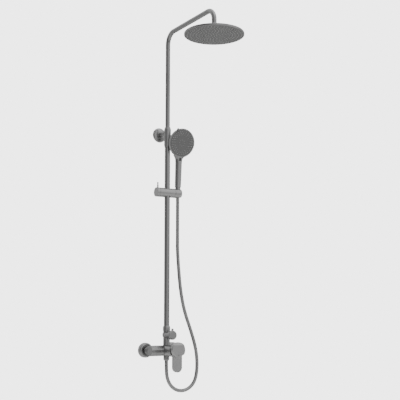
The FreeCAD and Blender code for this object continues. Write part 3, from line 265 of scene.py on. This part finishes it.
# %% [markdown]
# ### The sheath
# Under the sheath a steel wire is wound in a close helix, and the sheath sinks slightly between its
# turns. That is geometry here: the radius of each ring of the tube falls and rises with the helix. The
# real turns are about 2 mm apart. They are drawn coarser, 5 mm apart, and very shallow.

# %% Sweep the tube
RING_SIDES = 28
HELIX_PITCH = 5 * MM
HELIX_DEPTH = 0.05 * MM


def hose_tube(name, line, start_length):
    """A closed tube along the line; start_length keeps the helix in step from piece to piece."""
    mesh = bmesh.new()
    side = Vector((0, 1, 0))  # the hose lies in one plane, so this is square to it everywhere
    rings = []
    travelled = start_length
    for i, centre in enumerate(line):
        before, after = line[max(i - 1, 0)], line[min(i + 1, len(line) - 1)]
        outward = (after - before).normalized().cross(side)
        ring = []
        for k in range(RING_SIDES):
            angle = 2 * math.pi * k / RING_SIDES
            wave = 0.5 + 0.5 * math.cos(2 * math.pi * travelled / HELIX_PITCH - angle)
            radius = HOSE_RADIUS - HELIX_DEPTH * (1 - wave) ** 3
            spoke = side * math.cos(angle) + outward * math.sin(angle)
            ring.append(mesh.verts.new(centre + spoke * radius))
        rings.append(ring)
        if i + 1 < len(line):
            travelled += (line[i + 1] - centre).length
    for low, high in zip(rings, rings[1:]):
        for k in range(RING_SIDES):
            j = (k + 1) % RING_SIDES
            mesh.faces.new((low[k], low[j], high[j], high[k]))
    mesh.faces.new(reversed(rings[0]))
    mesh.faces.new(rings[-1])
    bmesh.ops.recalc_face_normals(mesh, faces=mesh.faces)
    for face in mesh.faces:
        face.smooth = len(face.verts) == 4
    data = bpy.data.meshes.new(name)
    mesh.to_mesh(data)
    mesh.free()
    tube = bpy.data.objects.new(name, data)
    bpy.context.scene.collection.objects.link(tube)
    return tube


sheath = moulded("PVC_sheath_silver_grey", "#929292", 0.34, 1.2, 0.004, metallic=0.85)
HOSE_NODES = ("hose_top", "hose_upper", "hose_middle", "hose_main")
HOSE_BODIES = (("handset", "holder"), ("holder", "slider"), ("slider", "carriage"), ("carriage", "root"))
cut_heights = [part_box(node)[0][2] for node in HOSE_NODES[:-1]]
hose_pieces = []
start = 0
for index, node in enumerate(HOSE_NODES):
    end = len(hose_line) - 1
    if index < len(cut_heights):
        end = next(i for i, place in enumerate(hose_line) if place.z <= cut_heights[index])
    piece = hose_tube(node + "_sheath", hose_line[start : end + 1], start * RING_STEP)
    piece.data.materials.append(sheath)
    hose_pieces.append((piece, hose_line[start : end + 1]))
    start = end
print([round((line[0] - line[-1]).length, 3) for piece, line in hose_pieces], "m from end to end")

# %% [markdown]
# ### How the hose lies
# Each length starts on one body and ends on the next, and bends smoothly between them. The last one is
# the long loop, from the slider at its top to the mixer's outlet at its bottom. The lengths are fixed
# in place and do not follow the bodies; the engineering model's own hose pieces are hidden.

# %% Bake the hose lengths in place and hide the model's hose pieces
for (piece, line), node, (upper, lower) in zip(hose_pieces, HOSE_NODES, HOSE_BODIES):
    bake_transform(piece)
    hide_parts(node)

# %% [markdown]
# ## Studio
# Satin metal shows what surrounds it. A pale room with one dark curtain gives each tube its dark stripe
# and its broad bright band. The floor is far below, as under a real column, and only catches light.

# %% Floor, light and camera
floor_mesh = bpy.data.meshes.new("studio_floor")
FLOOR_SIZE, FLOOR_HEIGHT = 8.0, -1.05
half = FLOOR_SIZE / 2
floor_mesh.from_pydata(
    [(x * half, y * half, FLOOR_HEIGHT) for x, y in ((-1, -1), (1, -1), (1, 1), (-1, 1))],
    [],
    [(0, 1, 2, 3)],
)
floor = bpy.data.objects.new("studio_floor", floor_mesh)
bpy.context.scene.collection.objects.link(floor)
floor_paint, tree, shader, place = new_material("floor_matt_white")
speck = add_node(tree, "TexNoise", Vector=place, Scale=3.0)
dusty, clean = linear("#f4f4f3"), linear("#fbfbfa")
shade = add_node(tree, "Mix", {"data_type": "RGBA"}, Factor=speck.outputs[0], i6=dusty, i7=clean)
tree.links.new(shade.outputs[2], shader.inputs["Base Color"])
shader.inputs["Roughness"].default_value = 0.9
floor.data.materials.append(floor_paint)

world = bpy.data.worlds.new("studio")
bpy.context.scene.world = world
world.use_nodes = True
tree = world.node_tree
tree.nodes.clear()
VIEW_YAW = math.radians(31.636)
RIGHT = (math.cos(VIEW_YAW), -math.sin(VIEW_YAW), 0.0)
TOWARDS_VIEWER = (-math.sin(VIEW_YAW), -math.cos(VIEW_YAW), 0.0)
# A pale room with one dark curtain. Bearings are in degrees from the viewer, positive to the right.
PALE_WALL = "#888888"
CURTAIN = "#585858"
WALL_PAINT = [(-180, PALE_WALL), (-100, PALE_WALL), (-70, CURTAIN), (-25, CURTAIN), (15, PALE_WALL)]
ROOM_LIGHT = 2.9
direction = add_node(tree, "TexCoord").outputs["Generated"]
to_right = add_node(tree, "VectorMath", {"operation": "DOT_PRODUCT"}, i0=direction, i1=RIGHT)
to_viewer = add_node(tree, "VectorMath", {"operation": "DOT_PRODUCT"}, i0=direction, i1=TOWARDS_VIEWER)
bearing = add_node(
    tree, "Math", {"operation": "ARCTAN2"}, i0=to_right.outputs["Value"], i1=to_viewer.outputs["Value"]
)
around = add_node(tree, "MapRange", Value=bearing.outputs[0], i1=-math.pi, i2=math.pi)
walls = add_node(tree, "ValToRGB", Fac=around.outputs[0])
stops = walls.color_ramp.elements
while len(stops) > 1:
    stops.remove(stops[-1])
for index, (degrees, paint) in enumerate(WALL_PAINT):
    stop = stops[0] if index == 0 else stops.new((degrees + 180) / 360)
    stop.position = (degrees + 180) / 360
    stop.color = linear(paint)
height = add_node(tree, "SeparateXYZ", Vector=direction)
below, above = 0.42 * ROOM_LIGHT, 1.5 * ROOM_LIGHT
rise = add_node(tree, "MapRange", Value=height.outputs["Z"], i1=-0.6, i2=0.7, i3=below, i4=above)
room = add_node(tree, "Background", Color=walls.outputs[0], Strength=rise.outputs[0])
backdrop = add_node(tree, "Background", Color=linear("#ffffff"), Strength=4.0)
seen = add_node(tree, "LightPath").outputs["Is Camera Ray"]
sky = add_node(tree, "MixShader", i0=seen, i1=room.outputs[0], i2=backdrop.outputs[0])
add_node(tree, "OutputWorld", Surface=sky.outputs[0])


def soft_box(name, place, aim, size, power):
    """A large square lamp that faces a point."""
    lamp = bpy.data.lights.new(name, "AREA")
    lamp.size = size
    lamp.energy = power
    holder = bpy.data.objects.new(name, lamp)
    holder.location = place
    holder.rotation_euler = (Vector(aim) - Vector(place)).to_track_quat("-Z", "Y").to_euler()
    bpy.context.scene.collection.objects.link(holder)


middle = (0.0, -0.1, 0.55)
soft_box("key_right", (1.9, -2.3, 1.6), middle, 2.4, 6)
soft_box("fill_front", (-0.6, -3.6, 0.8), middle, 2.6, 5)
soft_box("top", (0.2, -0.8, 3.0), middle, 2.0, 10)

camera = bpy.data.cameras.new("camera")
camera.lens = 72.78
camera.sensor_width = 36.0
viewer = bpy.data.objects.new("camera", camera)
viewer.location = (-1.566, -2.8613, 0.170)
pitch = math.radians(7.499)
level = math.cos(pitch)
looking = Vector((math.sin(VIEW_YAW) * level, math.cos(VIEW_YAW) * level, math.sin(pitch)))
viewer.rotation_euler = looking.to_track_quat("-Z", "Y").to_euler()
bpy.context.scene.collection.objects.link(viewer)
bpy.context.scene.camera = viewer
print("camera at", [round(v, 3) for v in viewer.location])
